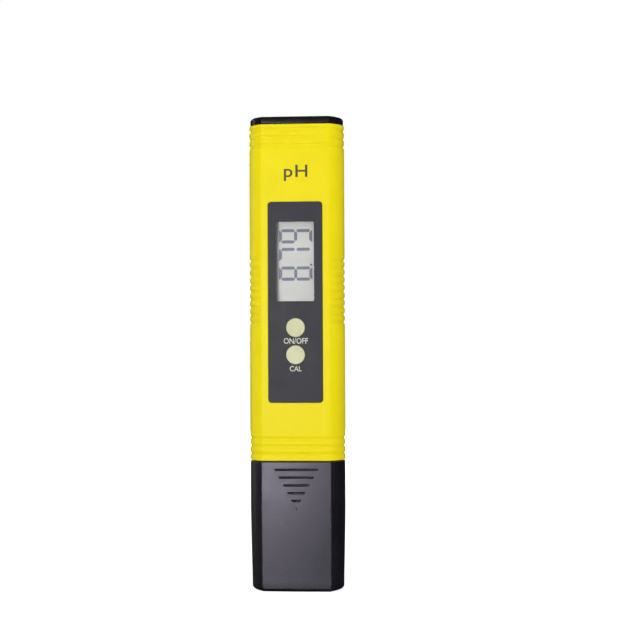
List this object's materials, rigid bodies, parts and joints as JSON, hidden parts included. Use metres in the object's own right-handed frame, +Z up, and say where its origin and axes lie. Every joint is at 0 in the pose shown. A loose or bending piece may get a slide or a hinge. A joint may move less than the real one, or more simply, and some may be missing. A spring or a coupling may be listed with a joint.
{
  "type": "ph test pen",
  "caption": "Pocket pH test pen: flat yellow case with display and press keys, pull-off battery lid, and a glass electrode under a pull-off storage cap.",
  "frame": {"origin": "centre of the storage cap's flat base, which the pen stands on", "axes": "+Z up along the pen from cap to battery lid, -Y out of the display face, +X to the right of someone facing the display"},
  "size_m": [0.0308, 0.0153, 0.151],
  "materials": {
    "case_yellow": "satin moulded ABS",
    "lid_black": "fine satin moulded ABS",
    "cap_black": "fine spark-textured moulded ABS",
    "label_slate": "satin printed polyester film",
    "key_pale_green": "satin moulded silicone",
    "window_clear": "clear polished acrylic",
    "lcd_grey": "reflective grey liquid crystal panel",
    "frame_black": "satin moulded plastic",
    "zebra_pink": "layered conductive elastomer",
    "board_green": "glass-epoxy laminate with green solder mask",
    "chip_black": "matt epoxy moulding",
    "steel": "plain stainless steel",
    "nickel": "nickel-plated spring strip",
    "silver": "drawn silver wire",
    "cradle_white": "natural moulded nylon",
    "seal_rubber": "matt silicone rubber",
    "epoxy_dark": "cast potting compound",
    "ceramic_white": "porous ceramic",
    "electrode_glass": "thin blown pH glass",
    "collar_black": "satin moulded ABS",
    "sponge_foam": "open-cell foam",
    "lead_red": "PVC-insulated wire",
    "lead_black": "PVC-insulated wire",
    "lead_blue": "PVC-insulated wire"
  },
  "bodies": {
    "cap": {"protective_cap": "cap_black", "storage_sponge": "sponge_foam"},
    "pen": {"front_shell": "case_yellow", "rear_shell": "case_yellow", "face_label": "label_slate", "display_window": "window_clear", "lcd_frame": "frame_black", "lcd_panel": "lcd_grey", "zebra_strip_left": "zebra_pink", "zebra_strip_right": "zebra_pink", "circuit_board": "board_green", "controller_chip": "chip_black", "amplifier_chip": "chip_black", "crystal_can": "steel", "filter_capacitor": "epoxy_dark", "board_screw_1": "steel", "board_screw_2": "steel", "board_screw_3": "steel", "board_screw_4": "steel", "power_switch": "chip_black", "cal_switch": "chip_black", "battery_cradle": "cradle_white", "battery_cell_front": "steel", "battery_cell_rear": "steel", "battery_contact_negative": "nickel", "battery_contact_positive": "nickel", "electrode_collar": "collar_black", "cap_seal_ring": "seal_rubber", "chamber_stopper": "epoxy_dark", "glass_electrode": "electrode_glass", "glass_plug": "seal_rubber", "silver_wire": "silver", "reference_wire": "silver", "reference_junction": "ceramic_white", "temperature_probe": "steel", "signal_lead": "lead_red", "reference_lead": "lead_black", "probe_lead": "lead_blue"},
    "lid": {"battery_lid": "lid_black", "lid_seal": "seal_rubber"},
    "power_key": {"power_button": "key_pale_green", "power_plunger": "frame_black"},
    "cal_key": {"cal_button": "key_pale_green", "cal_plunger": "frame_black"}
  },
  "joints": [
    {"name": "cap_pull", "type": "slide", "parent": "cap", "child": "pen", "axis": [0, 0, 1], "range_m": [0, 0.034]},
    {"name": "lid_pull", "type": "slide", "parent": "pen", "child": "lid", "axis": [0, 0, 1], "range_m": [0, 0.012]},
    {"name": "power_press", "type": "slide", "parent": "pen", "child": "power_key", "axis": [0, 1, 0], "range_m": [0, 0.0004], "stiffness_N_per_m": 450},
    {"name": "cal_press", "type": "slide", "parent": "pen", "child": "cal_key", "axis": [0, 1, 0], "range_m": [0, 0.0004], "stiffness_N_per_m": 450}
  ]
}
